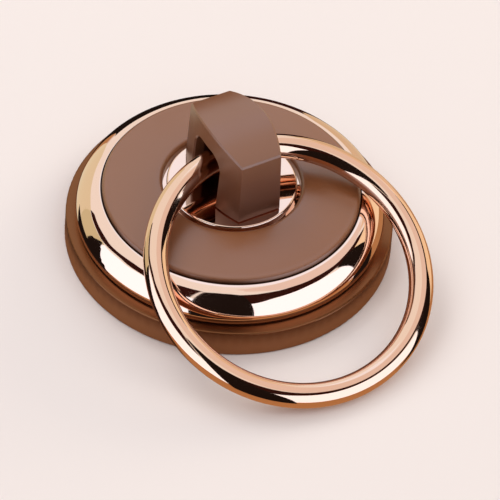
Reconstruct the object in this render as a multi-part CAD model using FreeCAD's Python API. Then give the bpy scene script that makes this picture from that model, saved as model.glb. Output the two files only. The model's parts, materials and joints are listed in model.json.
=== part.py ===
"""Ring pull handle: a loose ring through an arched post on a domed round base.

The back of the base is at z = 0 and +Z points out of the door. The ring leans
towards -Y, which is down on a door. All sizes are in millimetres.
"""
import FreeCAD, Part
import math
import os

# Base body: skirt, ledge, spigot and deck in one casting with a hollow back
BACK_ROUND = 0.4         # small round where the skirt meets the door
SKIRT_DRAFT = 0.15       # how far the skirt leans in, up to the ledge
SKIRT_WALL = 3.0         # wall of the skirt, seen from the back
LEDGE_Z = 5.3            # height of the ledge that the bead stands on
LEDGE_W = 7.85           # width of the ledge, from the skirt to the spigot
LEDGE_T = 2.7            # thickness of the ledge
LEDGE_ROUND = 0.35       # rounded outer edge of the ledge
SPIGOT_WALL = 3.0        # wall of the spigot, seen from the back
DECK_T = 2.6             # thickness of the deck
RIB_T = 1.6              # ribs under the deck
RIB_DEPTH = 3.6
RIB_COUNT = 4
RIB_START_DEG = 45.0

# Door fixing: two tapped bosses cast in the base
DOOR_SPACING = 32.0      # hole to hole, up and down the door
DOOR_BOSS_R = 4.5
DOOR_TAP_R = 1.65        # M4 tapping size
DOOR_TAP_CAP = 3.0       # metal left over the blind end
DOOR_TAP_CHAMFER = 0.4

# Bead: the polished outer ring, three rounds that run into each other, and a rebate
BEAD_H = 5.7             # from the ledge up to the deck
BEAD_TOP_ROUND_R = 3.5   # round from the lip down to the shoulder
BEAD_SHOULDER_DEG = 58.0 # slope where the top round runs into the flatter side
BEAD_HIP_DEG = 17.0      # slope where the side runs into the foot round
BEAD_FOOT_ROUND_R = 2.3
BEAD_TUCK_DEG = 30.5     # how far the foot round turns in under the bead
BEAD_LIP_H = 0.3         # how far the top of the round stands above the deck
BEAD_LIP_ROUND = 0.15    # small round where the top turns down to the disc
BEAD_LINE = 0.35         # shadow line under the bead
BEAD_FIT = 0.1           # clearance round the spigot

# Cover disc: the satin ring inside the bead
COVER_W = 10.9           # from the rim of its hole to its outer edge
COVER_FIT = 0.1          # clearance to the bead round the outer edge
COVER_LAP = 1.4          # how far the disc reaches past the spigot
COVER_EDGE_T = 1.2       # height of the outer edge above the deck
COVER_RISE = 1.35        # rise from the outer edge to the inner lip
COVER_CROWN = 0.12       # how far the top bulges above a straight cone
COVER_EDGE_ROUND = 0.85
COVER_LIP_ROUND = 0.8

# Post: barrel plan, crowned top, slot along X
LEG_T = 5.55             # thickness of each leg along Y, at the foot
POST_HALF_W = 3.9        # half width of the end faces at the top corners
POST_BULGE = 1.9         # how far the long sides bulge at the top
POST_DRAFT_L = 0.6       # how much the foot is longer, at each end
POST_DRAFT_W = 0.25      # how much the foot is wider, at each side
POST_DRAFT_BULGE = 0.45  # how much the foot's sides bulge more
POST_SHOULDER = 12.75    # height of the top corners above the plate
POST_CROWN = 2.1         # rise of the top from its ends to its middle
POST_TOP_CHAMFER = 0.25
POST_FOOT_CHAMFER = 0.3
SLOT_PLAY = 2.2          # room for the bar on each side in the slot
SLOT_CORNER = 3.0
SLOT_EDGE = 0.3          # bevel round the mouths of the slot
ARCH_T = 3.85            # metal over the middle of the slot

# Centre plate: the polished disc under the post
PLATE_T = 2.4
PLATE_RIM = 1.02         # how much plate shows past the post's corners
PLATE_EDGE_ROUND = 0.4
GROOVE_W = 0.7           # dark groove between plate and cover disc
FLANGE_LAP = 2.2         # hidden flange that holds the cover disc down
FLANGE_T = 1.0
FLANGE_FIT = 0.1

# Pull ring: as large as it takes to reach past the base where it lies
RING_BAR_R = 2.2
RING_Y = 1.1             # where the middle of the bar passes the slot
RING_RISE = 6.0          # height of that point above the plate
RING_REACH = 13.75       # from the base's edge to the middle of the far bar
RING_REST_GAP = 0.1      # clearance under the ring's far end as it lies

# Screws and washers that clamp the post from behind
SCREW_INSET = 2.7        # from the slot's wall to the screw's middle
SCREW_R = 1.45
SCREW_TAP_R = 1.5
SCREW_HOLE_R = 1.7
SCREW_L = 10.0
SCREW_TAP_EXTRA = 1.0    # tapped depth left past the screw's end
SCREW_TIP = 0.4
HEAD_R = 2.75
HEAD_H = 3.0
HEAD_CHAMFER = 0.3
SOCKET_AF = 2.5
SOCKET_DEPTH = 1.5
WASHER_LAP = 0.35        # how far the washer shows past the head
WASHER_HOLE_R = 1.6
WASHER_T = 0.8
WASHER_GAP = 0.8
SPOT_FIT = 0.3           # clearance of the cast spot face round the washer

# Plan sizes that follow, from the bar in the slot out to the skirt
SLOT_HALF_W = RING_BAR_R + SLOT_PLAY
SCREW_Y = SLOT_HALF_W + SCREW_INSET
WASHER_R = HEAD_R + WASHER_LAP
POST_FOOT_HALF_L = SLOT_HALF_W + LEG_T
POST_HALF_L = POST_FOOT_HALF_L - POST_DRAFT_L
POST_FOOT_HALF_W = POST_HALF_W + POST_DRAFT_W
POST_FOOT_BULGE = POST_BULGE + POST_DRAFT_BULGE
PLATE_R = math.hypot(POST_FOOT_HALF_L, POST_FOOT_HALF_W) + PLATE_RIM
FLANGE_R = PLATE_R + FLANGE_LAP
COVER_BORE_R = PLATE_R + GROOVE_W
COVER_R = COVER_BORE_R + COVER_W
SPIGOT_R = COVER_R - COVER_LAP
BEAD_R = COVER_R + COVER_FIT + BEAD_LIP_ROUND
SKIRT_TOP_R = SPIGOT_R + LEDGE_W
BACK_R = SKIRT_TOP_R + SKIRT_DRAFT

# Heights that follow from the sizes above
DECK_Z = LEDGE_Z + BEAD_H
BEAD_LOW = LEDGE_Z + BEAD_LINE
BEAD_TOP = DECK_Z + BEAD_LIP_H
DECK_UNDER = DECK_Z - DECK_T
PLATE_TOP = DECK_Z + PLATE_T
SHOULDER_Z = PLATE_TOP + POST_SHOULDER
SLOT_TOP = SHOULDER_Z + POST_CROWN - ARCH_T
SCREW_SEAT = DECK_UNDER - WASHER_T
RING_Z = PLATE_TOP + RING_RISE

# The ring as it lies: from the bar in the slot down to the far bar on the door
RING_DROP = RING_Z - RING_BAR_R - RING_REST_GAP
RING_RUN = RING_Y + BACK_R + RING_REACH
RING_R = math.hypot(RING_RUN, RING_DROP) / 2
RING_LEAN = math.atan2(RING_DROP, RING_RUN)

MARGIN = 1.0             # how far cutting tools reach past what they cut
ORIGIN = FreeCAD.Vector(0, 0, 0)
X_AXIS = FreeCAD.Vector(1, 0, 0)
Z_AXIS = FreeCAD.Vector(0, 0, 1)


def point(x, y, z):
    return FreeCAD.Vector(x, y, z)


def section_point(radius, height):
    return FreeCAD.Vector(radius, 0, height)


def line(start, end):
    return Part.LineSegment(start, end).toShape()


def arc(start, middle, end):
    return Part.Arc(start, middle, end).toShape()


def lines(corners):
    """Straight edges from each corner to the next."""
    return [line(a, b) for a, b in zip(corners[:-1], corners[1:])]


def turned(edges):
    """A solid turned about the Z axis from the edges of its half section."""
    face = Part.Face(Part.Wire(edges))
    return face.revolve(ORIGIN, Z_AXIS, 360)


def cylinder(radius, height, x, y, z):
    return Part.makeCylinder(radius, height, point(x, y, z), Z_AXIS)


def round_point(centre, radius, angle_deg):
    """A point of the half section, on a circle round centre."""
    angle = math.radians(angle_deg)
    return section_point(centre.x + radius * math.cos(angle), centre.z + radius * math.sin(angle))


def round_arc(centre, radius, from_deg, to_deg):
    """An arc of the half section, from one angle to another."""
    middle = (from_deg + to_deg) / 2
    return arc(
        round_point(centre, radius, from_deg),
        round_point(centre, radius, middle),
        round_point(centre, radius, to_deg),
    )


def base_envelope():
    """The outside of the base body, solid: skirt, ledge, spigot and deck."""
    foot = section_point(BACK_R - BACK_ROUND, BACK_ROUND)
    ledge = section_point(SKIRT_TOP_R - LEDGE_ROUND, LEDGE_Z - LEDGE_ROUND)
    edges = [line(ORIGIN, round_point(foot, BACK_ROUND, -90))]
    edges.append(round_arc(foot, BACK_ROUND, -90, 0))
    edges.append(line(round_point(foot, BACK_ROUND, 0), round_point(ledge, LEDGE_ROUND, 0)))
    edges.append(round_arc(ledge, LEDGE_ROUND, 0, 90))
    edges += lines([
        round_point(ledge, LEDGE_ROUND, 90),
        section_point(SPIGOT_R, LEDGE_Z),
        section_point(SPIGOT_R, DECK_Z),
        section_point(0, DECK_Z),
        ORIGIN,
    ])
    return turned(edges)


def base_hollow():
    """The space cast into the back, before bosses and ribs take their share."""
    spigot_inner = SPIGOT_R - SPIGOT_WALL
    ledge_under = LEDGE_Z - LEDGE_T
    return turned(lines([
        section_point(0, DECK_UNDER),
        section_point(spigot_inner, DECK_UNDER),
        section_point(spigot_inner, ledge_under),
        section_point(BACK_R - SKIRT_WALL, ledge_under),
        section_point(BACK_R - SKIRT_WALL, -MARGIN),
        section_point(0, -MARGIN),
        section_point(0, DECK_UNDER),
    ]))


def both_sides(distance):
    """The two places of a pair, up and down the door."""
    return (-distance, distance)


def door_bosses():
    height = DECK_UNDER + MARGIN
    return [cylinder(DOOR_BOSS_R, height, 0, y, 0) for y in both_sides(DOOR_SPACING / 2)]


def door_taps():
    """Blind tapped holes for the door screws, each with a bevelled mouth."""
    mouth_r = DOOR_TAP_R + DOOR_TAP_CHAMFER
    cuts = []
    for y in both_sides(DOOR_SPACING / 2):
        cuts.append(cylinder(DOOR_TAP_R, DECK_Z - DOOR_TAP_CAP, 0, y, 0))
        cuts.append(Part.makeCone(mouth_r, DOOR_TAP_R, DOOR_TAP_CHAMFER, point(0, y, 0), Z_AXIS))
    return cuts


def deck_ribs():
    """Radial ribs under the deck, cast with the body."""
    z = DECK_UNDER - RIB_DEPTH
    ribs = []
    for number in range(RIB_COUNT):
        rib = Part.makeBox(SPIGOT_R, RIB_T, RIB_DEPTH + MARGIN, point(0, -RIB_T / 2, z))
        rib.rotate(ORIGIN, Z_AXIS, RIB_START_DEG + number * 360.0 / RIB_COUNT)
        ribs.append(rib)
    return ribs


def screw_cylinders(radius, bottom, top):
    return [cylinder(radius, top - bottom, 0, y, bottom) for y in both_sides(SCREW_Y)]


def base_body():
    hollow = base_hollow().cut(door_bosses() + deck_ribs())
    body = base_envelope().cut(hollow).cut(door_taps())
    body = body.cut(screw_cylinders(WASHER_R + SPOT_FIT, -MARGIN, DECK_UNDER))
    return body.cut(screw_cylinders(SCREW_HOLE_R, DECK_UNDER - MARGIN, DECK_Z + MARGIN))


def sine(angle_deg):
    return math.sin(math.radians(angle_deg))


def bead_side_round_r():
    """Radius of the bead's side, so that its three rounds add up to its height."""
    height = BEAD_TOP - BEAD_LOW
    height -= BEAD_TOP_ROUND_R * (1 - sine(BEAD_SHOULDER_DEG))
    height -= BEAD_FOOT_ROUND_R * (sine(BEAD_HIP_DEG) + sine(BEAD_TUCK_DEG))
    return height / (sine(BEAD_SHOULDER_DEG) - sine(BEAD_HIP_DEG))


def bead_ring():
    """Polished ring: round outside, with a small lip that rings the cover disc."""
    side_r = bead_side_round_r()
    top = section_point(BEAD_R, BEAD_TOP - BEAD_TOP_ROUND_R)
    side = round_point(top, BEAD_TOP_ROUND_R - side_r, BEAD_SHOULDER_DEG)
    foot = round_point(side, side_r - BEAD_FOOT_ROUND_R, BEAD_HIP_DEG)
    lip = section_point(BEAD_R, BEAD_TOP - BEAD_LIP_ROUND)
    low = round_point(foot, BEAD_FOOT_ROUND_R, -BEAD_TUCK_DEG)
    foot_r = low.x - 2 * BEAD_LINE
    bore = SPIGOT_R + BEAD_FIT
    edges = lines([
        section_point(bore, LEDGE_Z),
        section_point(foot_r, LEDGE_Z),
        section_point(foot_r, low.z),
        low,
    ])
    edges.append(round_arc(foot, BEAD_FOOT_ROUND_R, -BEAD_TUCK_DEG, BEAD_HIP_DEG))
    edges.append(round_arc(side, side_r, BEAD_HIP_DEG, BEAD_SHOULDER_DEG))
    edges.append(round_arc(top, BEAD_TOP_ROUND_R, BEAD_SHOULDER_DEG, 90))
    edges.append(round_arc(lip, BEAD_LIP_ROUND, 90, 180))
    edges += lines([
        round_point(lip, BEAD_LIP_ROUND, 180),
        section_point(BEAD_R - BEAD_LIP_ROUND, DECK_Z),
        section_point(bore, DECK_Z),
        section_point(bore, LEDGE_Z),
    ])
    return turned(edges)


def cover_disc():
    """Satin disc: gently domed, with both edges rolled down."""
    edge_top = DECK_Z + COVER_EDGE_T
    lip_top = edge_top + COVER_RISE
    flange_bore = FLANGE_R + FLANGE_FIT
    flange_top = DECK_Z + FLANGE_T
    outer = section_point(COVER_R - COVER_EDGE_ROUND, edge_top - COVER_EDGE_ROUND)
    inner = section_point(COVER_BORE_R + COVER_LIP_ROUND, lip_top - COVER_LIP_ROUND)
    outer_top = round_point(outer, COVER_EDGE_ROUND, 90)
    inner_top = round_point(inner, COVER_LIP_ROUND, 90)
    middle = (outer_top + inner_top) * 0.5 + point(0, 0, COVER_CROWN)
    edges = [
        line(section_point(COVER_R, DECK_Z), round_point(outer, COVER_EDGE_ROUND, 0)),
        round_arc(outer, COVER_EDGE_ROUND, 0, 90),
        arc(outer_top, middle, inner_top),
        round_arc(inner, COVER_LIP_ROUND, 90, 180),
    ]
    edges += lines([
        round_point(inner, COVER_LIP_ROUND, 180),
        section_point(COVER_BORE_R, flange_top),
        section_point(flange_bore, flange_top),
        section_point(flange_bore, DECK_Z),
        section_point(COVER_R, DECK_Z),
    ])
    return turned(edges)


def centre_plate():
    """Polished disc with a hidden flange under the cover disc."""
    edge = section_point(PLATE_R - PLATE_EDGE_ROUND, PLATE_TOP - PLATE_EDGE_ROUND)
    flange_top = DECK_Z + FLANGE_T
    edges = lines([
        section_point(0, PLATE_TOP),
        section_point(0, DECK_Z),
        section_point(FLANGE_R, DECK_Z),
        section_point(FLANGE_R, flange_top),
        section_point(PLATE_R, flange_top),
        round_point(edge, PLATE_EDGE_ROUND, 0),
    ])
    edges.append(round_arc(edge, PLATE_EDGE_ROUND, 0, 90))
    edges.append(line(round_point(edge, PLATE_EDGE_ROUND, 90), section_point(0, PLATE_TOP)))
    return turned(edges).cut(screw_cylinders(SCREW_HOLE_R, DECK_Z - MARGIN, PLATE_TOP + MARGIN))


def barrel_outline(half_l, half_w, bulge, z):
    """Plan of the post: straight ends, long sides bulging outwards."""
    side = half_w + bulge
    right_back = point(half_w, half_l, z)
    right_front = point(half_w, -half_l, z)
    left_front = point(-half_w, -half_l, z)
    left_back = point(-half_w, half_l, z)
    return Part.Wire([
        line(left_back, right_back),
        arc(right_back, point(side, 0, z), right_front),
        line(right_front, left_front),
        arc(left_front, point(-side, 0, z), left_back),
    ])


def drafted_block():
    """The post's tapered block, from the plate to past its crown."""
    top = POST_SHOULDER + POST_CROWN + MARGIN
    grow = top / POST_SHOULDER
    foot = barrel_outline(POST_FOOT_HALF_L, POST_FOOT_HALF_W, POST_FOOT_BULGE, PLATE_TOP)
    head = barrel_outline(
        POST_FOOT_HALF_L - POST_DRAFT_L * grow,
        POST_FOOT_HALF_W - POST_DRAFT_W * grow,
        POST_FOOT_BULGE - POST_DRAFT_BULGE * grow,
        PLATE_TOP + top,
    )
    return Part.makeLoft([foot, head], True, True)


def crown_cylinder():
    """A cylinder along X whose top is the post's crowned top."""
    radius = (POST_HALF_L ** 2 + POST_CROWN ** 2) / (2 * POST_CROWN)
    reach = POST_FOOT_HALF_W + POST_FOOT_BULGE + MARGIN
    start = point(-reach, 0, SHOULDER_Z + POST_CROWN - radius)
    return Part.makeCylinder(radius, 2 * reach, start, X_AXIS)


def slot_block():
    """The slot's solid, right through along X: upright walls, rounded upper corners."""
    reach = POST_FOOT_HALF_W + POST_FOOT_BULGE + MARGIN
    low = PLATE_TOP - MARGIN
    centre_y = SLOT_HALF_W - SLOT_CORNER
    centre_z = SLOT_TOP - SLOT_CORNER
    lean = SLOT_CORNER * math.sqrt(0.5)
    left_low = point(-reach, -SLOT_HALF_W, low)
    left_high = point(-reach, -SLOT_HALF_W, centre_z)
    left_top = point(-reach, -centre_y, SLOT_TOP)
    right_top = point(-reach, centre_y, SLOT_TOP)
    right_high = point(-reach, SLOT_HALF_W, centre_z)
    right_low = point(-reach, SLOT_HALF_W, low)
    outline = Part.Wire([
        line(left_low, left_high),
        arc(left_high, point(-reach, -centre_y - lean, centre_z + lean), left_top),
        line(left_top, right_top),
        arc(right_top, point(-reach, centre_y + lean, centre_z + lean), right_high),
        line(right_high, right_low),
        line(right_low, left_low),
    ])
    return Part.Face(outline).extrude(point(2 * reach, 0, 0))


def edges_where(shape, test):
    """Edges of a shape whose middle passes a test."""
    return [edge for edge in shape.Edges if test(edge.CenterOfMass)]


def on_top(centre):
    return centre.z > SHOULDER_Z - MARGIN / 4


def on_foot(centre):
    return centre.z < PLATE_TOP + MARGIN / 4


def on_slot_mouth(centre):
    """True for the middle of an edge round either mouth of the slot."""
    across = abs(centre.x) > POST_HALF_W + POST_BULGE / 2
    inside = abs(centre.y) < SLOT_HALF_W + MARGIN / 4
    above_foot = centre.z > PLATE_TOP + POST_FOOT_CHAMFER + MARGIN / 2
    below_top = centre.z < SLOT_TOP + MARGIN / 4
    return across and inside and above_foot and below_top


def post():
    """Arched post: crowned block, bevelled edges, slot and tapped feet."""
    block = drafted_block().common(crown_cylinder())
    block = block.makeChamfer(POST_TOP_CHAMFER, edges_where(block, on_top))
    block = block.makeChamfer(POST_FOOT_CHAMFER, edges_where(block, on_foot))
    block = block.cut(slot_block())
    block = block.makeChamfer(SLOT_EDGE, edges_where(block, on_slot_mouth))
    tap_top = SCREW_SEAT + SCREW_L + SCREW_TAP_EXTRA
    return block.cut(screw_cylinders(SCREW_TAP_R, PLATE_TOP - MARGIN, tap_top))


def pull_ring():
    """Closed ring of round bar, leaning until its far end reaches the door."""
    centre = point(0, RING_Y - RING_RUN / 2, RING_Z - RING_DROP / 2)
    normal = point(0, -math.sin(RING_LEAN), math.cos(RING_LEAN))
    return Part.makeTorus(RING_R, RING_BAR_R, centre, normal)


def hexagon(across_flats, z):
    radius = across_flats / math.sqrt(3)
    corners = []
    for number in range(7):
        angle = math.radians(60 * number)
        corners.append(point(radius * math.cos(angle), radius * math.sin(angle), z))
    return Part.Face(Part.makePolygon(corners))


def post_screw(y):
    """One socket head screw, head down, its seat on the washer."""
    head_low = SCREW_SEAT - HEAD_H
    end = SCREW_SEAT + SCREW_L
    screw = turned(lines([
        section_point(0, head_low),
        section_point(HEAD_R - HEAD_CHAMFER, head_low),
        section_point(HEAD_R, head_low + HEAD_CHAMFER),
        section_point(HEAD_R, SCREW_SEAT),
        section_point(SCREW_R, SCREW_SEAT),
        section_point(SCREW_R, end - SCREW_TIP),
        section_point(SCREW_R - SCREW_TIP, end),
        section_point(0, end),
        section_point(0, head_low),
    ]))
    screw = screw.cut(hexagon(SOCKET_AF, head_low).extrude(point(0, 0, SOCKET_DEPTH)))
    screw.translate(point(0, y, 0))
    return screw


def post_screws():
    return Part.makeCompound([post_screw(y) for y in both_sides(SCREW_Y)])


def spring_washer(y):
    """One split washer, squeezed flat between head and deck."""
    ring = cylinder(WASHER_R, WASHER_T, 0, y, SCREW_SEAT)
    ring = ring.cut(cylinder(WASHER_HOLE_R, WASHER_T, 0, y, SCREW_SEAT))
    corner = point(0, y - WASHER_GAP / 2, SCREW_SEAT)
    return ring.cut(Part.makeBox(WASHER_R + MARGIN, WASHER_GAP, WASHER_T, corner))


def spring_washers():
    return Part.makeCompound([spring_washer(y) for y in both_sides(SCREW_Y)])


PIECES = {
    "base_body": base_body,
    "bead_ring": bead_ring,
    "cover_disc": cover_disc,
    "centre_plate": centre_plate,
    "post": post,
    "pull_ring": pull_ring,
    "post_screws": post_screws,
    "spring_washers": spring_washers,
}


def main():
    os.makedirs("parts", exist_ok=True)
    for name, make in PIECES.items():
        shape = make()
        shape.exportStep("parts/" + name + ".step")
        print(name, "solids", len(shape.Solids), "valid", shape.isValid(), "volume %.1f" % shape.Volume)
    print("ring radius %.3f, lean %.3f degrees" % (RING_R, math.degrees(RING_LEAN)))
    print("ring bar in the slot at y %.3f, z %.3f" % (RING_Y, RING_Z))


main()
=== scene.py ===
# %% [markdown]
# Ring pull handle, dressed for the camera
#
# The imported model holds every piece at its real size and place. This lesson
# gives the pieces their finish: a satin brown bronze coat on the base, the cover
# disc and the post, and a rose copper mirror plating on the bead, the plate and
# the ring. It starts by loading the model.

# %% Load the imported model
import json
import math

import bmesh
import bpy
from mathutils import Matrix, Vector


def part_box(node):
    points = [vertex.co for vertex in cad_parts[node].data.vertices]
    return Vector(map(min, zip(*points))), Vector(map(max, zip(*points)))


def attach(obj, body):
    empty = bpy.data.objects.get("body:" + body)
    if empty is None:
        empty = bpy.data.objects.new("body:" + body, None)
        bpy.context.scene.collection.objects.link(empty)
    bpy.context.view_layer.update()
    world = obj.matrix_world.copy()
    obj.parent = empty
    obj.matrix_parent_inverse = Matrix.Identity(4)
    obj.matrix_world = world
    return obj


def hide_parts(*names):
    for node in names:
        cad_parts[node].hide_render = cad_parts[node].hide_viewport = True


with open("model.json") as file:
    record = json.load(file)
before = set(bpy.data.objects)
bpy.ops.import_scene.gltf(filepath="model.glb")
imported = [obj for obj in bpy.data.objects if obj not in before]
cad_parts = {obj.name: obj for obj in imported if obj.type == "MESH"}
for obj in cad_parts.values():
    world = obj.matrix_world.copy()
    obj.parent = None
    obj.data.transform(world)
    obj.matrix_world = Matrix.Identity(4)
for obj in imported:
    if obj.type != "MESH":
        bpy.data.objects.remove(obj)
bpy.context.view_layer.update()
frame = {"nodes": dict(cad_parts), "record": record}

# %% Millimetres and a first helper
MM = 0.001


def new_object(name, mesh):
    """Put a mesh into the scene as an object that sits at the origin."""
    thing = bpy.data.objects.new(name, mesh)
    bpy.context.scene.collection.objects.link(thing)
    return thing


# %% [markdown]
# The camera
#
# The photograph looks down at the pull from the lower left, at 46 degrees, with
# a long lens and a slight roll. A long lens keeps the round base a nearly true
# ellipse. The camera is placed by its two angles round a target on the floor,
# and then rolled about its own line of sight. The Standard view shows the
# colours as they are mixed here, with no film curve over them.

# %% Camera values
AZIMUTH = math.radians(-32.63)
ELEVATION = math.radians(46.18)
ROLL = math.radians(4.84)
TARGET = Vector((1.42, -5.68, 0.0)) * MM
DISTANCE = 450 * MM
NEAREST = 10 * MM        # nothing closer to the lens is drawn
SENSOR = 36.0            # width of the film, in mm
LENS = 177.4             # focal length, in mm


# %% Camera
def direction(azimuth, elevation):
    """A unit vector: azimuth 0 is -Y and turns towards +X, elevation is above the floor."""
    flat = math.cos(elevation)
    return Vector((math.sin(azimuth) * flat, -math.cos(azimuth) * flat, math.sin(elevation)))


def photo_camera():
    """The camera at the photograph's angles, distance and roll."""
    back = direction(AZIMUTH, ELEVATION)
    level_right = Vector((0, 0, 1)).cross(back).normalized()
    level_up = back.cross(level_right)
    right = math.cos(ROLL) * level_right + math.sin(ROLL) * level_up
    turn = Matrix((right, back.cross(right), back)).transposed().to_4x4()
    data = bpy.data.cameras.new("camera")
    data.sensor_width = SENSOR
    data.lens = LENS
    data.clip_start = NEAREST
    thing = bpy.data.objects.new("camera", data)
    thing.matrix_world = Matrix.Translation(TARGET + DISTANCE * back) @ turn
    bpy.context.scene.collection.objects.link(thing)
    return thing


camera = photo_camera()
bpy.context.scene.camera = camera
bpy.context.scene.view_settings.view_transform = "Standard"
print("camera stands at", [round(v, 3) for v in camera.matrix_world.translation])

# %% [markdown]
# Shader groups
#
# Five effects are kept as node groups with named inputs, so that each finish
# sets its own scale and strength. Two cover a whole surface: a fine grain, which
# gives a satin coat its tooth, and handling, the faint cloudy patches where
# fingers and a polishing cloth have been. Three are masks for a place, which
# mostly mark where shade is painted into a finish: a rim at some radius, the
# inside of the post's slot, and the foot of the post. Painting a mask by hand
# would do for one view, but a mask worked out from the place on the object is
# sharp at any distance. A group gives out only a mask or a height.

# %% Shader group helpers
def new_group(name, inputs, output):
    """A shader group with float inputs and one float output, and its two end nodes."""
    group = bpy.data.node_groups.new(name, "ShaderNodeTree")
    make, number = group.interface.new_socket, "NodeSocketFloat"
    for label, default in inputs:
        make(name=label, in_out="INPUT", socket_type=number).default_value = default
    make(name=output, in_out="OUTPUT", socket_type=number)
    return group, group.nodes.new("NodeGroupInput"), group.nodes.new("NodeGroupOutput")


def add_node(tree, kind, inputs=None, **settings):
    """A node with its properties set, and its unlinked inputs by name or number."""
    node = tree.nodes.new(kind)
    for key, value in settings.items():
        setattr(node, key, value)
    for key, value in (inputs or {}).items():
        node.inputs[key].default_value = value
    return node


def object_point(tree):
    """The surface's place on the object, in metres."""
    return add_node(tree, "ShaderNodeTexCoord").outputs["Object"]


def point_in_mm(tree):
    """The surface's place on the object in mm, as three outputs X, Y and Z."""
    to_mm = add_node(tree, "ShaderNodeVectorMath", {"Scale": 1 / MM}, operation="SCALE")
    split = add_node(tree, "ShaderNodeSeparateXYZ")
    tree.links.new(object_point(tree), to_mm.inputs[0])
    tree.links.new(to_mm.outputs["Vector"], split.inputs["Vector"])
    return split.outputs


# %% Shader group: fine grain
def fine_grain_group():
    """A height that changes from grain to grain, up to a depth in metres."""
    group, given, result = new_group(
        "fine_grain", [("Grains per metre", 4000.0), ("Depth", 1.0)], "Height"
    )
    noise = add_node(group, "ShaderNodeTexNoise", {"Detail": 3.0, "Roughness": 0.6})
    scaled = add_node(group, "ShaderNodeMath", operation="MULTIPLY")
    link = group.links.new
    link(object_point(group), noise.inputs["Vector"])
    link(given.outputs["Grains per metre"], noise.inputs["Scale"])
    link(noise.outputs["Fac"], scaled.inputs[0])
    link(given.outputs["Depth"], scaled.inputs[1])
    link(scaled.outputs[0], result.inputs["Height"])
    return group


fine_grain = fine_grain_group()
print("group", fine_grain.name)


# %% Shader group: handling
def handling_group():
    """A mask of soft clouds."""
    group, given, result = new_group("handling", [("Patches per metre", 90.0)], "Mask")
    clouds = add_node(group, "ShaderNodeTexNoise", {"Detail": 4.0, "Distortion": 0.6})
    soften = add_node(
        group, "ShaderNodeMapRange", {"From Min": 0.38, "From Max": 0.68},
        interpolation_type="SMOOTHSTEP",
    )
    link = group.links.new
    link(object_point(group), clouds.inputs["Vector"])
    link(given.outputs["Patches per metre"], clouds.inputs["Scale"])
    link(clouds.outputs["Fac"], soften.inputs["Value"])
    link(soften.outputs["Result"], result.inputs["Mask"])
    return group


handling = handling_group()
print("group", handling.name)


# %% Shader group: rim
def rim_group():
    """A mask that rises from one radius about Z to another, both in mm."""
    group, given, result = new_group(
        "rim", [("Clear radius", 10.0), ("Full radius", 11.0)], "Mask"
    )
    place = point_in_mm(group)
    flat = add_node(group, "ShaderNodeCombineXYZ")
    length = add_node(group, "ShaderNodeVectorMath", operation="LENGTH")
    rise = add_node(group, "ShaderNodeMapRange", interpolation_type="SMOOTHSTEP")
    link = group.links.new
    link(place["X"], flat.inputs["X"])
    link(place["Y"], flat.inputs["Y"])
    link(flat.outputs["Vector"], length.inputs[0])
    link(length.outputs["Value"], rise.inputs["Value"])
    link(given.outputs["Clear radius"], rise.inputs["From Min"])
    link(given.outputs["Full radius"], rise.inputs["From Max"])
    link(rise.outputs["Result"], result.inputs["Mask"])
    return group


rim = rim_group()
print("group", rim.name)


# %% Shader group: slot
def slot_group():
    """A mask for painted shade, full deep inside the post's slot and fading towards its mouths.

    The slot runs along X. All inputs are in mm, the two depths from the middle.
    """
    group, given, result = new_group(
        "slot",
        [("Half width", 4.0), ("Top", 24.0), ("Clear depth", 4.0), ("Full depth", 3.0)],
        "Mask",
    )
    place = point_in_mm(group)
    along = add_node(group, "ShaderNodeMath", operation="ABSOLUTE")
    across = add_node(group, "ShaderNodeMath", operation="ABSOLUTE")
    between = add_node(group, "ShaderNodeMath", operation="LESS_THAN")
    under = add_node(group, "ShaderNodeMath", operation="LESS_THAN")
    inside = add_node(group, "ShaderNodeMath", operation="MULTIPLY")
    fade = add_node(group, "ShaderNodeMapRange", interpolation_type="SMOOTHSTEP")
    mask = add_node(group, "ShaderNodeMath", operation="MULTIPLY")
    link = group.links.new
    link(place["X"], along.inputs[0])
    link(place["Y"], across.inputs[0])
    link(across.outputs[0], between.inputs[0])
    link(given.outputs["Half width"], between.inputs[1])
    link(place["Z"], under.inputs[0])
    link(given.outputs["Top"], under.inputs[1])
    link(between.outputs[0], inside.inputs[0])
    link(under.outputs[0], inside.inputs[1])
    link(along.outputs[0], fade.inputs["Value"])
    link(given.outputs["Clear depth"], fade.inputs["From Min"])
    link(given.outputs["Full depth"], fade.inputs["From Max"])
    link(inside.outputs[0], mask.inputs[0])
    link(fade.outputs["Result"], mask.inputs[1])
    link(mask.outputs[0], result.inputs["Mask"])
    return group


slot_mask = slot_group()
print("group", slot_mask.name)


# %% Shader group: foot
def foot_group():
    """A mask for painted shade that grows from a clear height down to a full height, both in mm.
    """
    group, given, result = new_group(
        "foot", [("Clear height", 26.0), ("Full height", 13.5), ("Most", 1.0)], "Mask"
    )
    fade = add_node(group, "ShaderNodeMapRange")
    link = group.links.new
    link(point_in_mm(group)["Z"], fade.inputs["Value"])
    link(given.outputs["Clear height"], fade.inputs["From Min"])
    link(given.outputs["Full height"], fade.inputs["From Max"])
    link(given.outputs["Most"], fade.inputs["To Max"])
    link(fade.outputs["Result"], result.inputs["Mask"])
    return group


foot_mask = foot_group()
print("group", foot_mask.name)

# %% [markdown]
# Finishes
#
# Satin bronze is a coloured coat: most of its light comes back scattered and
# warm, and a broad soft sheen lies over it. Rose copper plating is a mirror, so
# nearly all that it shows is the studio. Its colour tints the reflections, and
# its roughness is close to none. Bright zinc on the screws is paler and a little
# rougher. Picture textures could hold all this, but the noise and the masks of
# the groups need no unwrapping and follow each piece's own size.

# %% Finish helpers
def place_group(tree, group, **values):
    """A shader group placed in a tree, with its inputs set by their names."""
    node = tree.nodes.new("ShaderNodeGroup")
    node.node_tree = group
    for label, value in values.items():
        node.inputs[label.replace("_", " ")].default_value = value
    return node


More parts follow.
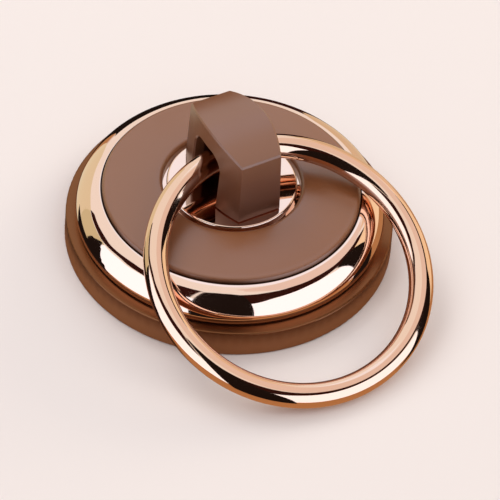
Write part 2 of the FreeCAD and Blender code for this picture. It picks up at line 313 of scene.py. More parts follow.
def new_finish(name, color, metallic, roughness):
    """A material and its Principled shader, with the plain values set."""
    finish = bpy.data.materials.new(name)
    finish.use_nodes = True
    shader = finish.node_tree.nodes["Principled BSDF"]
    shader.inputs["Base Color"].default_value = (*color, 1.0)
    shader.inputs["Metallic"].default_value = metallic
    shader.inputs["Roughness"].default_value = roughness
    return finish, shader


def add_bump(tree, height, shader):
    """Tilt the shader's normal by a height in metres."""
    bump = add_node(tree, "ShaderNodeBump", {"Strength": 1.0, "Distance": 1.0})
    tree.links.new(height, bump.inputs["Height"])
    tree.links.new(bump.outputs["Normal"], shader.inputs["Normal"])


def vary_roughness(finish, shader, low, high, patches):
    """Roughness that drifts between two values in soft patches."""
    tree = finish.node_tree
    clouds = place_group(tree, handling, Patches_per_metre=patches)
    spread = add_node(tree, "ShaderNodeMapRange", {"To Min": low, "To Max": high})
    tree.links.new(clouds.outputs["Mask"], spread.inputs["Value"])
    tree.links.new(spread.outputs["Result"], shader.inputs["Roughness"])


# %% Painted shade in chosen places
def rim_mask(finish, clear, full):
    """A mask between two radii in mm, for one finish."""
    node = place_group(finish.node_tree, rim, Clear_radius=clear, Full_radius=full)
    return node.outputs["Mask"]


def strongest(tree, masks):
    """The larger of several masks, as one output."""
    best = masks[0]
    for mask in masks[1:]:
        pick = add_node(tree, "ShaderNodeMath", operation="MAXIMUM")
        tree.links.new(best, pick.inputs[0])
        tree.links.new(mask, pick.inputs[1])
        best = pick.outputs[0]
    return best


def paint_shade(finish, shader, masks, depth, tone):
    """Where the masks say, paint shade into the finish: a deeper tone without a pale sheen.

    A metal mirrors only in its own colour, so the finish turns metallic there,
    and a dark or brown tone then gives back little of the pale studio.
    """
    tree = finish.node_tree
    amount = add_node(tree, "ShaderNodeMath", {1: depth}, operation="MULTIPLY")
    plain = tuple(shader.inputs["Base Color"].default_value)
    blend = add_node(tree, "ShaderNodeMix", data_type="RGBA")
    blend.inputs["A"].default_value = plain
    blend.inputs["B"].default_value = (*tone, 1.0)
    metal = add_node(
        tree, "ShaderNodeMapRange",
        {"To Min": shader.inputs["Metallic"].default_value, "To Max": 1.0},
    )
    link = tree.links.new
    link(strongest(tree, masks), amount.inputs[0])
    link(amount.outputs[0], blend.inputs["Factor"])
    link(amount.outputs[0], metal.inputs["Value"])
    link(blend.outputs["Result"], shader.inputs["Base Color"])
    link(metal.outputs["Result"], shader.inputs["Metallic"])


# %% Satin bronze
# One coat in three copies: the casting's is lighter than the disc's and the post's, which paints
# more light onto the skirt's wall.
DISC_BRONZE = (0.24, 0.083, 0.028)
POST_BRONZE = (0.225, 0.085, 0.036)
CASTING_BRONZE = (0.31, 0.110, 0.032)
BRONZE_SHEEN = 1.0       # specular level: the sheen is stronger than a plain paint's
GRAIN_DEPTH = 0.006      # mm


def bronze_coat(name, tone):
    """The plain coat: a colour that scatters light, under a broad soft sheen."""
    finish, shader = new_finish(name, tone, metallic=0.0, roughness=0.33)
    shader.inputs["Specular IOR Level"].default_value = BRONZE_SHEEN
    return finish, shader


def satin_bronze_finish(name, tone):
    """The coat as it shows on the front, with its tooth and signs of handling."""
    finish, shader = bronze_coat(name, tone)
    tree = finish.node_tree
    grain = place_group(tree, fine_grain, Grains_per_metre=5000.0, Depth=GRAIN_DEPTH * MM)
    add_bump(tree, grain.outputs["Height"], shader)
    vary_roughness(finish, shader, low=0.29, high=0.35, patches=120.0)
    return finish, shader


# %% Bronze for the disc and the post
DISC_RIM = (23.1, 23.5)                # radii in mm where its painted shade starts and is full
DISC_RIM_PAINTED_SHADE = (0.030, 0.010, 0.005)
POST_PAINTED_SHADE = (0.06, 0.011, 0.004)
LEG_TOP, LEG_FOOT = 27.0, 13.5         # heights in mm between which painted shade deepens the legs
LINE_TOP, LINE_FOOT = 13.8, 13.6       # the same for the painted shadow line round the foot


def disc_finish():
    """The coat, with painted shade at the rim where the disc dips into the bead."""
    finish, shader = satin_bronze_finish("bronze_disc", DISC_BRONZE)
    paint_shade(finish, shader, [rim_mask(finish, *DISC_RIM)], 0.7, DISC_RIM_PAINTED_SHADE)
    return finish


def post_finish():
    """The coat, with painted shade in the slot and down the legs, and a painted shadow line at
    the foot.
    """
    finish, shader = satin_bronze_finish("bronze_post", POST_BRONZE)
    tree = finish.node_tree
    slot = place_group(
        tree, slot_mask, Half_width=4.45, Top=24.4, Clear_depth=4.3, Full_depth=3.3
    )
    legs = place_group(tree, foot_mask, Clear_height=LEG_TOP, Full_height=LEG_FOOT, Most=0.6)
    line = place_group(tree, foot_mask, Clear_height=LINE_TOP, Full_height=LINE_FOOT, Most=1.0)
    masks = [node.outputs["Mask"] for node in (slot, legs, line)]
    paint_shade(finish, shader, masks, 0.95, POST_PAINTED_SHADE)
    return finish


BRONZE_DISC = disc_finish()
BRONZE_POST = post_finish()
print("bronze", BRONZE_DISC.name, BRONZE_POST.name)


# %% Rose copper and zinc
PLATE_COPPER = (0.93, 0.64, 0.50)
# The ring's copy of the plating is a deeper tone than the plate's, which paints shade into the
# ring's reflections.
RING_COPPER = (0.90, 0.59, 0.43)
BEAD_INNER_EDGE = (23.72, 23.6)        # radii in mm where its painted shade starts and is full
BEAD_EDGE_PAINTED_SHADE = (0.010, 0.005, 0.004)


def rose_copper_finish(name, tone):
    """A mirror plating, polished to nearly no roughness."""
    finish, shader = new_finish(name, tone, metallic=1.0, roughness=0.05)
    vary_roughness(finish, shader, low=0.035, high=0.07, patches=160.0)
    return finish, shader


def bead_finish():
    """The plating, with painted shade at the inner edge, where the bead dips to the disc."""
    finish, shader = rose_copper_finish("copper_bead", PLATE_COPPER)
    paint_shade(finish, shader, [rim_mask(finish, *BEAD_INNER_EDGE)], 0.97, BEAD_EDGE_PAINTED_SHADE)
    return finish


def bright_zinc_finish():
    """Bright zinc plating, worn to a changing gloss by the turning of the screws."""
    finish, shader = new_finish("bright_zinc", (0.62, 0.63, 0.65), metallic=1.0, roughness=0.25)
    vary_roughness(finish, shader, low=0.22, high=0.34, patches=700.0)
    return finish


ROSE_COPPER = rose_copper_finish("rose_copper", PLATE_COPPER)[0]
COPPER_RING = rose_copper_finish("copper_ring", RING_COPPER)[0]
COPPER_BEAD = bead_finish()
BRIGHT_ZINC = bright_zinc_finish()
print("plated", ROSE_COPPER.name, COPPER_RING.name, COPPER_BEAD.name, BRIGHT_ZINC.name)

# %% [markdown]
# Turned pieces
#
# The bead, the cover disc and the ring are all round. A mirror shows every
# facet, so they are turned again here, finer than any model meant for
# machining. One Geometry Nodes tree does the turning: it takes the half section
# as a closed line, sweeps it round a small circle, and marks only the sharp
# corners as sharp. A Spin or a Screw modifier would do it too, but a tree can be
# given another section and another number of steps at any time.

# %% Geometry Nodes helpers
def new_tree(name, inputs, output):
    """A Geometry Nodes tree with named inputs and one output, and its two end nodes."""
    tree = bpy.data.node_groups.new(name, "GeometryNodeTree")
    make = tree.interface.new_socket
    for label, kind in inputs:
        make(name=label, in_out="INPUT", socket_type="NodeSocket" + kind)
    make(name=output, in_out="OUTPUT", socket_type="NodeSocketGeometry")
    return tree, tree.nodes.new("NodeGroupInput"), tree.nodes.new("NodeGroupOutput")


def end_tree(tree, geometry, given, result, output):
    """End a tree with Realize Instances and Set Material."""
    realize = add_node(tree, "GeometryNodeRealizeInstances")
    coat = add_node(tree, "GeometryNodeSetMaterial")
    link = tree.links.new
    link(geometry, realize.inputs["Geometry"])
    link(realize.outputs["Geometry"], coat.inputs["Geometry"])
    link(given.outputs["Finish"], coat.inputs["Material"])
    link(coat.outputs["Geometry"], result.inputs[output])


# %% Geometry Nodes tree that turns a section
CORE_R = 1 * MM                        # radius of the circle that the section sweeps
SHARP_ANGLE = math.radians(30)


def turning_tree():
    """A tree that sweeps a half section round a circle about Z."""
    tree, given, result = new_tree(
        "turned_piece",
        [("Section", "Geometry"), ("Steps", "Int"), ("Core radius", "Float"),
         ("Sharp angle", "Float"), ("Finish", "Material")],
        "Piece",
    )
    line = add_node(tree, "GeometryNodeMeshToCurve")
    circle = add_node(tree, "GeometryNodeCurvePrimitiveCircle", mode="RADIUS")
    sweep = add_node(tree, "GeometryNodeCurveToMesh")
    smooth = add_node(tree, "GeometryNodeSetShadeSmooth", domain="FACE")
    angle = add_node(tree, "GeometryNodeInputMeshEdgeAngle")
    soft = add_node(tree, "FunctionNodeCompare", data_type="FLOAT", operation="LESS_THAN")
    edges = add_node(tree, "GeometryNodeSetShadeSmooth", domain="EDGE")
    link = tree.links.new
    link(given.outputs["Section"], line.inputs["Mesh"])
    link(given.outputs["Steps"], circle.inputs["Resolution"])
    link(given.outputs["Core radius"], circle.inputs["Radius"])
    link(circle.outputs["Curve"], sweep.inputs["Curve"])
    link(line.outputs["Curve"], sweep.inputs["Profile Curve"])
    link(sweep.outputs["Mesh"], smooth.inputs["Geometry"])
    link(angle.outputs["Unsigned Angle"], soft.inputs["A"])
    link(given.outputs["Sharp angle"], soft.inputs["B"])
    link(smooth.outputs["Geometry"], edges.inputs["Geometry"])
    link(soft.outputs["Result"], edges.inputs["Shade Smooth"])
    end_tree(tree, edges.outputs["Geometry"], given, result, "Piece")
    return tree


TURNING = turning_tree()
print("tree", TURNING.name, "with", len(TURNING.nodes), "nodes")


# %% From a tree to a plain mesh
def set_inputs(modifier, tree, **values):
    """Set a modifier's inputs by their sockets' identifiers."""
    for item in tree.interface.items_tree:
        key = item.name.replace(" ", "_")
        if item.item_type == "SOCKET" and item.in_out == "INPUT" and key in values:
            modifier[item.identifier] = values[key]


def plain_mesh(source, name):
    """The evaluated object as a plain mesh, with the source object removed."""
    graph = bpy.context.evaluated_depsgraph_get()
    mesh = bpy.data.meshes.new_from_object(source.evaluated_get(graph), depsgraph=graph)
    mesh.name = name
    bpy.data.objects.remove(source)
    return mesh


def grown(name, blank_mesh, tree, **values):
    """A plain mesh that a tree grows from a blank."""
    blank = new_object(name + "_blank", blank_mesh)
    modifier = blank.modifiers.new("tree", "NODES")
    modifier.node_group = tree
    set_inputs(modifier, tree, **values)
    return plain_mesh(blank, name)


def report(mesh):
    """Print a mesh's size and how many faces it has."""
    spans = []
    for axis in range(3):
        places = [vertex.co[axis] / MM for vertex in mesh.vertices]
        spans.append((round(min(places), 2), round(max(places), 2)))
    print(mesh.name, "faces", len(mesh.polygons), "spans", spans)


# %% Turn a section
def turned(name, section, finish, steps):
    """A closed section of (radius, height) points in mm, run anticlockwise, turned about Z."""
    points = [(radius * MM - CORE_R, -height * MM, 0.0) for radius, height in reversed(section)]
    edges = [(i, (i + 1) % len(points)) for i in range(len(points))]
    outline = bpy.data.meshes.new(name + "_section")
    outline.from_pydata(points, edges, [])
    return grown(
        name, outline, TURNING,
        Steps=steps, Core_radius=CORE_R, Sharp_angle=SHARP_ANGLE, Finish=finish,
    )


def arc_points(radius, height, size, from_deg, to_deg, step_deg):
    """Points of an arc round (radius, height), both ends included."""
    count = max(2, math.ceil(abs(to_deg - from_deg) / step_deg))
    turn = to_deg - from_deg
    angles = [math.radians(from_deg + turn * i / count) for i in range(count + 1)]
    return [(radius + size * math.cos(a), height + size * math.sin(a)) for a in angles]


trial = turned("trial", [(10, 0), (20, 0), (20, 5)], ROSE_COPPER, steps=32)
report(trial)
bpy.data.meshes.remove(trial)

# %% [markdown]
# The studio
#
# Polished copper has hardly any look of its own: it shows the studio. So the
# studio is laid out from what the bead and the ring show in the photograph. A
# big soft light stands on the left and another at the front right, with a dark
# gap between them where the camera stands, a dark bar over both, and a pale
# ceiling. Each card is a patch of a large sphere round the pull, given by its
# compass bearing and its height above the floor, both in degrees. Bearing 0 is
# -Y and turns towards +X. Real area lamps would do for a matt object, but their
# plain rectangles don't curve as these reflections do.

# %% Shining surfaces
def card_finish(name, color, strength):
    """A material that shines with one colour."""
    finish = bpy.data.materials.new(name)
    finish.use_nodes = True
    tree = finish.node_tree
    tree.nodes.clear()
    out = add_node(tree, "ShaderNodeOutputMaterial")
    glow = add_node(
        tree, "ShaderNodeEmission", {"Color": (*color, 1.0), "Strength": strength}
    )
    tree.links.new(glow.outputs["Emission"], out.inputs["Surface"])
    return finish


def stage_for_mirrors(thing):
    """Stage a thing that only reflections see."""
    thing.visible_camera = False
    thing.visible_shadow = False
    thing.visible_diffuse = False


# %% Card helpers
STUDIO_R = 1.2                         # metres
NEARER_STEP = 0.02                     # how much closer a nearer card stands, in metres
CARD_COLUMNS, CARD_ROWS = 48, 12


def eased(values, along):
    """The value at a place from 0 to 1 along evenly spaced values, with soft corners."""
    place = along * (len(values) - 1)
    index = min(int(place), len(values) - 2)
    t = place - index
    return values[index] + (values[index + 1] - values[index]) * t * t * (3 - 2 * t)


def card(name, bearings, low, high, color, strength=1.0, nearer=0):
    """A patch of a sphere between two bearings, in degrees.

    low and high are the heights of its two edges in degrees, evenly spaced from
    the first bearing to the second. A card that is nearer hides those behind it.
    """
    radius = STUDIO_R - NEARER_STEP * nearer
    grid, faces = [], []
    for i in range(CARD_COLUMNS + 1):
        along = i / CARD_COLUMNS
        bearing = math.radians(bearings[0] + (bearings[1] - bearings[0]) * along)
        bottom, top = eased(low, along), eased(high, along)
        for j in range(CARD_ROWS + 1):
            height = math.radians(bottom + (top - bottom) * j / CARD_ROWS)
            grid.append(radius * direction(bearing, height))
    column = CARD_ROWS + 1
    for i in range(CARD_COLUMNS):
        for j in range(CARD_ROWS):
            corner = i * column + j
            faces.append((corner, corner + 1, corner + column + 1, corner + column))
    mesh = bpy.data.meshes.new(name)
    mesh.from_pydata(grid, [], faces)
    mesh.materials.append(card_finish(name, color, strength))
    thing = new_object(name, mesh)
    stage_for_mirrors(thing)
    return thing


# %% [markdown]
# The room
#
# Where no card stands, the copper sees a plain room: a pale ceiling, and brown
# shade below the table's edge. The camera sees a pale backdrop, and the matt
# coats take a soft light that is darker near the floor. Walls of mesh would
# hide the lamps, so one world gives each kind of ray its own colour.

# %% World
CEILING = (0.95, 1.00, 1.02)
UNDERSIDE = (0.48, 0.25, 0.11)
MIRROR_BLEND = (-4, 16)                # heights in degrees between which mirrors see the change
ROOM_HIGH = (0.84, 0.82, 0.815)
ROOM_LOW = (0.30, 0.24, 0.21)
ROOM_BLEND = (2, 60)                   # the same for the light that falls on matt coats
BACKDROP = (0.90, 0.81, 0.78)


def height_blend(tree, height, ends, low, high):
    """A colour that changes from low to high between two heights, in degrees."""
    from_sine, to_sine = [math.sin(math.radians(end)) for end in ends]
    rise = add_node(
        tree, "ShaderNodeMapRange", {"From Min": from_sine, "From Max": to_sine},
        interpolation_type="SMOOTHSTEP",
    )
    blend = add_node(tree, "ShaderNodeMix", data_type="RGBA")
    blend.inputs["A"].default_value = (*low, 1.0)
    blend.inputs["B"].default_value = (*high, 1.0)
    tree.links.new(height, rise.inputs["Value"])
    tree.links.new(rise.outputs["Result"], blend.inputs["Factor"])
    return blend.outputs["Result"]


def backdrop_world():
    """Mirrors see a pale ceiling over a brown table, and the camera a pale backdrop."""
    world = bpy.data.worlds.new("surround")
    world.use_nodes = True
    tree = world.node_tree
    tree.nodes.clear()
    link = tree.links.new
    place = add_node(tree, "ShaderNodeTexCoord")
    split = add_node(tree, "ShaderNodeSeparateXYZ")
    link(place.outputs["Generated"], split.inputs["Vector"])
    height = split.outputs["Z"]
    ray = add_node(tree, "ShaderNodeLightPath")
    inside = add_node(tree, "ShaderNodeMix", data_type="RGBA")
    link(ray.outputs["Is Glossy Ray"], inside.inputs["Factor"])
    link(height_blend(tree, height, ROOM_BLEND, ROOM_LOW, ROOM_HIGH), inside.inputs["A"])
    link(height_blend(tree, height, MIRROR_BLEND, UNDERSIDE, CEILING), inside.inputs["B"])
    shown = add_node(tree, "ShaderNodeMix", data_type="RGBA")
    shown.inputs["B"].default_value = (*BACKDROP, 1.0)
    link(ray.outputs["Is Camera Ray"], shown.inputs["Factor"])
    link(inside.outputs["Result"], shown.inputs["A"])
    sky = add_node(tree, "ShaderNodeBackground")
    out = add_node(tree, "ShaderNodeOutputWorld")
    link(shown.outputs["Result"], sky.inputs["Color"])
    link(sky.outputs["Background"], out.inputs["Surface"])
    return world


bpy.context.scene.world = backdrop_world()
print("world", bpy.context.scene.world.name)

# %% [markdown]
# The floor
#
# The pull lies on its back on a pale matt surface, which catches its shadow. A
# mirror that saw this floor would show it as bright as a lamp just where the
# real copper shows deep brown. So the floor is hidden from reflections: far
# out they see the world's brown underside, and close to the base a dark disc,
# which is a painted shadow of the floor round the base.
# One floor with a dark patch would be simpler, but the camera would see it.

# %% Floor
FLOOR_TONE = (0.885, 0.825, 0.815)
FLOOR_HALF = 1.1                       # metres
# painted shadow: the tone of the floor round the base, as mirrors see it
PAINTED_FLOOR_SHADOW = (0.09, 0.035, 0.018)
DARK_FLOOR_R = 37.0                    # mm
DARK_FLOOR_STEPS = 96


def floor():
    """The pale matt floor that the camera sees."""
    finish, shader = new_finish("floor", FLOOR_TONE, metallic=0.0, roughness=0.9)
    shader.inputs["Specular IOR Level"].default_value = 0.0
    mesh = bpy.data.meshes.new("floor")
    corners = [(-1, -1), (1, -1), (1, 1), (-1, 1)]
    mesh.from_pydata([(x * FLOOR_HALF, y * FLOOR_HALF, 0) for x, y in corners], [], [range(4)])
    mesh.materials.append(finish)
    ground = new_object("floor", mesh)
    ground.visible_glossy = False
    return ground


def dark_floor():
    """The dark disc that the mirrors see close to the base: a painted shadow of the floor."""
    mesh = bpy.data.meshes.new("dark_floor")
    turns = [math.tau * i / DARK_FLOOR_STEPS for i in range(DARK_FLOOR_STEPS)]
    out = Vector((DARK_FLOOR_R * MM, 0, 0))
    mesh.from_pydata(
        [Matrix.Rotation(turn, 3, "Z") @ out for turn in turns], [], [range(DARK_FLOOR_STEPS)]
    )
    mesh.materials.append(card_finish("dark_floor", PAINTED_FLOOR_SHADOW, 1.0))
    thing = new_object("dark_floor", mesh)
    stage_for_mirrors(thing)
    return thing


print("floors", floor().name, dark_floor().name)

# %% [markdown]
# The cards
#
# The big lights are nearly white with a touch of blue, which the copper warms.
# Black and rust cards stand a little nearer and cut the dark lines that make
# polished metal look like metal. The gold, tan and cream ones give its flanks
# their warm light. A picture of a real studio could wrap the scene instead, but
# each card here can be moved until one band of the bead falls in its place.

# %% Cards
WHITE = (0.82, 0.95, 1.14)
GOLD = (1.0, 0.86, 0.62)
DEEP_GOLD = (0.72, 0.60, 0.42)
TAN = (0.66, 0.64, 0.42)
CREAM = (0.80, 0.78, 0.58)
ROSE = (0.86, 0.78, 0.76)
PEACH = (0.86, 0.72, 0.56)
RUST = (0.030, 0.008, 0.006)
BLACK = (0.012, 0.008, 0.007)
BRIGHT, DIM = 1.6, 1.25                # strengths

cards = [
    card("left_light", (-126, -52), (-25, -17), (24, 33, 40, 41, 42, 38), WHITE, BRIGHT),
    card("front_right_light", (-12, 62), (-17, -17), (35, 41, 43, 43, 40, 31), WHITE, BRIGHT),
    card("tan_panel", (-152, -126), (-16, -16), (20, 24), TAN),
    card("right_ceiling", (30, 128), (62, 54, 46, 44, 44, 46), (82, 84, 84, 84, 84, 82), ROSE),
    card("right_wall", (106, 128), (0, 0), (44, 44), PEACH),
    card("back_glow", (130, 160), (44, 44), (66, 66), WHITE, DIM),
    card("far_left_cream", (-184, -151), (-40, -40), (26, 22), CREAM),
    card("right_strip", (80, 106), (-8, -8), (36, 36), GOLD),
    card("far_gold", (118, 138), (-40, -40), (26, 26), DEEP_GOLD),
    card("left_flag", (-137, -119), (-40, -40), (-10, 6, 22, 10, -10), BLACK, nearer=1),
    card("low_left_flag", (-158, -116), (-55, -55), (-14, -15), BLACK, nearer=1),
    card("camera_gap", (-53, -12), (-30, -30), (66, 71, 71, 66), BLACK, nearer=1),
    card(
        "over_left_bar", (-152, -56),
        (21, 24, 37, 42, 42, 38), (30, 36, 52, 62, 67, 68), RUST, nearer=1,
    ),
    card(
        "over_right_bar", (-12, 98),
        (35, 43, 43, 40, 35, 34), (66, 64, 60, 54, 47, 43), RUST, nearer=1,
    ),
    card("right_flag", (60, 80), (-40, -40), (38, 42), BLACK, nearer=1),
    card("far_rust", (138, 150), (-40, -40), (14, 14), RUST, nearer=1),
    card("far_flag", (150, 172), (-40, -40), (14, 20, 14), BLACK, nearer=1),
]
print("cards", len(cards))

# %% [markdown]
# The lamps
#
# The cards show only in mirrors, so four soft square lamps light the matt coats
# and the floor. The strongest white one, at the back left, throws the long soft
# shadow to the front, two weaker ones open it up, and a low gold one warms the
# right. They are hidden from mirrors, where they would add bright squares. A sun
# lamp would give a shadow with a hard edge, which the photograph hasn't.

# %% Lamps
LAMP_DISTANCE, LAMP_SIZE = 1.0, 0.5    # metres
SOFT_WHITE = (1.0, 0.96, 0.92)
LAMPS = [                              # name, bearing, height, watts, colour
    ("back_key", -165, 52, 2.0, (1.0, 0.97, 0.94)),
    ("left_key", -95, 60, 0.9, SOFT_WHITE),
    ("right_key", 50, 50, 0.5, SOFT_WHITE),
    ("gold_fill", 98, 20, 2.8, (1.0, 0.86, 0.68)),
]


def soft_light(name, bearing, height, watts, color):
    """A square lamp that faces the pull."""
    lamp = bpy.data.lights.new(name, "AREA")
    lamp.shape = "SQUARE"
    lamp.size = LAMP_SIZE
    lamp.energy = watts
    lamp.color = color
    thing = bpy.data.objects.new(name, lamp)
    aim = direction(math.radians(bearing), math.radians(height))
    turn = aim.to_track_quat("Z", "Y").to_matrix().to_4x4()
    thing.matrix_world = Matrix.Translation(LAMP_DISTANCE * aim) @ turn
    thing.visible_glossy = False
    bpy.context.scene.collection.objects.link(thing)
    return thing


print("lamps", [soft_light(*row).name for row in LAMPS])

# %% [markdown]
# The bead
#
# The bead is a turned and polished ring. Its outside is three rounds that run
# into each other, the largest in the middle, and that is why its reflections
# come as long even bands. Its section is drawn here from those rounds. A
# bevelled or subdivided ring would come near it, but only true rounds that
# share their slopes where they meet bend the light without a kink.

# %% Sizes shared by the turned pieces, in mm
DECK_TOP = 11.0          # height of the casting's deck, on which they all stand
LEDGE_TOP = 5.3          # height of the casting's ledge, under the bead
COVER_R = 23.4           # outer edge of the cover disc
SPIGOT_R = 22.0          # the casting's spigot, which centres the bead
SECTION_STEP = 3.0       # degrees between points on the bead's rounds
SMALL_STEP = 7.5         # degrees between points on the disc's rounds

# %% The bead's section
BEAD_LOW = 5.65          # height where the lowest round starts
BEAD_TOP = 11.3
BEAD_R = 23.65           # where the top of the bead is level
BEAD_BORE_R = SPIGOT_R + 0.1
TOP_ROUND, FOOT_ROUND = 3.5, 2.3
SHOULDER, HIP, TUCK = 58.0, 17.0, 30.5     # slopes where the rounds meet and end, in degrees
LIP_EDGE = 0.15          # round of the inner edge
FOOT_INSET = 0.7         # how far the foot stands back under the lowest round


def direction_2d(degrees):
    """A unit vector in the plane of a section."""
    return Vector((math.cos(math.radians(degrees)), math.sin(math.radians(degrees))))


def bead_section():
    """The bead's outline, with the middle round sized so that the three rounds meet."""
    sine = [math.sin(math.radians(a)) for a in (SHOULDER, HIP, TUCK)]
    side_round = BEAD_TOP - BEAD_LOW - TOP_ROUND * (1 - sine[0])
    side_round -= FOOT_ROUND * (sine[1] + sine[2])
    side_round /= sine[0] - sine[1]
    top = Vector((BEAD_R, BEAD_TOP - TOP_ROUND))
    side = top + (TOP_ROUND - side_round) * direction_2d(SHOULDER)
    foot = side + (side_round - FOOT_ROUND) * direction_2d(HIP)
    low = foot + FOOT_ROUND * direction_2d(-TUCK)
    foot_r = low.x - FOOT_INSET
    section = [(BEAD_BORE_R, LEDGE_TOP), (foot_r, LEDGE_TOP), (foot_r, low.y)]
    section += arc_points(*foot, FOOT_ROUND, -TUCK, HIP, SECTION_STEP)
    section += arc_points(*side, side_round, HIP, SHOULDER, SECTION_STEP)[1:]
    section += arc_points(*top, TOP_ROUND, SHOULDER, 90, SECTION_STEP)[1:]
    section += arc_points(BEAD_R, BEAD_TOP - LIP_EDGE, LIP_EDGE, 90, 180, 15)[1:]
    section += [(BEAD_R - LIP_EDGE, DECK_TOP), (BEAD_BORE_R, DECK_TOP)]
    return section


# %% Bead
def stand_in(name, mesh, node, body):
    """Put a finished mesh in the place of its CAD node."""
    piece = new_object(name, mesh)
    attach(piece, body)
    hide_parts(node)
    report(mesh)
    low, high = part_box(node)
    print("  its solid spans", [(round(a / MM, 2), round(b / MM, 2)) for a, b in zip(low, high)])
    return piece


bead_mesh = turned("bead", bead_section(), COPPER_BEAD, steps=288)
bead = stand_in("bead", bead_mesh, "bead_ring", "mounting")

# %% [markdown]
# The cover disc
#
# The cover disc is a pressed disc with a round hole. Its top bulges a little
# between the two edges, which roll down, and its underside is cut away round
# the hole, over the plate's hidden flange. It is matt, so it could stay a
# coarse mesh, but its rolled edges lie against mirrors that show them twice.
# The same tree turns it from its own section.

# %% Cover disc
COVER_BORE_R = 12.495
COVER_EDGE_TOP = 12.2
COVER_LIP_TOP = 13.55
COVER_CROWN = 0.12       # how far the top bulges above a straight line
EDGE_ROUND, LIP_ROUND = 0.85, 0.8
RECESS_R = 14.1          # the cut-away underneath, over the plate's flange
RECESS_TOP = DECK_TOP + 1.0
CROWN_STEPS = 12


def cover_section():
    """The disc's outline: flat below, rolled at both edges, crowned between them."""
    outer = Vector((COVER_R - EDGE_ROUND, COVER_EDGE_TOP - EDGE_ROUND))
    inner = Vector((COVER_BORE_R + LIP_ROUND, COVER_LIP_TOP - LIP_ROUND))
    section = [(RECESS_R, DECK_TOP), (COVER_R, DECK_TOP)]
    section += arc_points(*outer, EDGE_ROUND, 0, 90, SMALL_STEP)
    rise = COVER_LIP_TOP - COVER_EDGE_TOP
    for i in range(1, CROWN_STEPS):
        t = i / CROWN_STEPS
        bulge = COVER_CROWN * 4 * t * (1 - t)
        section.append((outer.x + (inner.x - outer.x) * t, COVER_EDGE_TOP + rise * t + bulge))
    section += arc_points(*inner, LIP_ROUND, 90, 180, SMALL_STEP)
    section += [(COVER_BORE_R, RECESS_TOP), (RECESS_R, RECESS_TOP)]
    return section


disc_mesh = turned("disc", cover_section(), BRONZE_DISC, steps=256)
disc = stand_in("disc", disc_mesh, "cover_disc", "mounting")

# %% [markdown]
# The ring
#
# The ring is a round bar bent to a circle, closed and polished. A ready-made
# torus would give the same shape. The tree turns it here too, with a circle for
# its section, so that it gets its finish in the same way. Then it is leaned
# about X and moved to where it lies at rest, with its place in its mesh.

# %% Ring
RING_R = 24.0
BAR_R = 2.2
BAR_STEP = 6             # degrees between points round the bar
RING_LEAN = math.radians(20.87)
RING_CENTRE = Vector((0, -21.325, 10.85))


def ring_mesh():
    """The ring, turned flat and then laid at its lean."""
    section = arc_points(RING_R, 0.0, BAR_R, 0, 360, BAR_STEP)[:-1]
    mesh = turned("ring", section, COPPER_RING, steps=384)
    mesh.transform(Matrix.Translation(RING_CENTRE * MM) @ Matrix.Rotation(RING_LEAN, 4, "X"))
    return mesh


ring = stand_in("ring", ring_mesh(), "pull_ring", "ring")

# %% [markdown]
# Post, plate, base casting and washers
#
# These keep the solids of the imported model. The post's flat and gently bowed
# faces need no finer mesh, and the plate is flat where it shows. A node of the
# model only gets a new material, in the slots that it already has. The post's
# coat gets painted shade deep in the slot, where little light reaches, and down
# its legs, and a painted shadow line at its foot. The casting's coat gets painted
# shade on the ledge beside the bead, and gets coarser and duller in the hollow
# back.

# %% Post and plate
def coat_node(node, finish):
    """Give every slot of a CAD node one finish."""
    piece = frame["nodes"][node]
    for place in piece.material_slots:
        place.material = finish
    print(node, "wears", finish.name)


coat_node("post", BRONZE_POST)
coat_node("centre_plate", ROSE_COPPER)


# %% Casting and washers
# The photograph shows no pale sheen on the ledge beside the bead, so inside
# these radii, in mm, painted shade gives the ledge the wall's tone with its sheen taken away.
LEDGE_EDGE = (29.94, 29.78)
LEDGE_PAINTED_SHADE = (0.23, 0.085, 0.033)
HOLLOW_EDGE = (27.6, 27.2)             # radii in mm where the hollow back begins
WALL_ROUGHNESS, HOLLOW_ROUGHNESS = 0.35, 0.62
MOULD_DEPTH = 0.03                     # mm


def casting_finish():
    """The coat, with painted shade on the ledge, duller and with the grain of a sand-blasted
    mould in the hollow back.
    """
    finish, shader = bronze_coat("bronze_casting", CASTING_BRONZE)
    tree = finish.node_tree
    paint_shade(finish, shader, [rim_mask(finish, *LEDGE_EDGE)], 1.0, LEDGE_PAINTED_SHADE)
    hollow = rim_mask(finish, *HOLLOW_EDGE)
    coarse = place_group(tree, fine_grain, Grains_per_metre=1500.0, Depth=MOULD_DEPTH * MM)
    depth = add_node(tree, "ShaderNodeMath", operation="MULTIPLY")
    dull = add_node(
        tree, "ShaderNodeMapRange", {"To Min": WALL_ROUGHNESS, "To Max": HOLLOW_ROUGHNESS}
    )
    link = tree.links.new
    link(coarse.outputs["Height"], depth.inputs[0])
    link(hollow, depth.inputs[1])
    add_bump(tree, depth.outputs[0], shader)
    link(hollow, dull.inputs["Value"])
    link(dull.outputs["Result"], shader.inputs["Roughness"])
    return finish


coat_node("base_body", casting_finish())
coat_node("spring_washers", BRIGHT_ZINC)

# %% [markdown]
# Threads
#
# A thread is a ridge that climbs a helix, so it is the classic case for a tree:
# a spiral curve carries a small diamond section up the screw. The diamond's
# outer corner is the crest, and its inner corner sinks into the core. The same
# tree makes the turns that show in the mouths of the two door screw holes. A
# Screw modifier would need a separate object for each pitch.

# %% Geometry Nodes tree for a thread
DIAMOND_CORNERS = 4


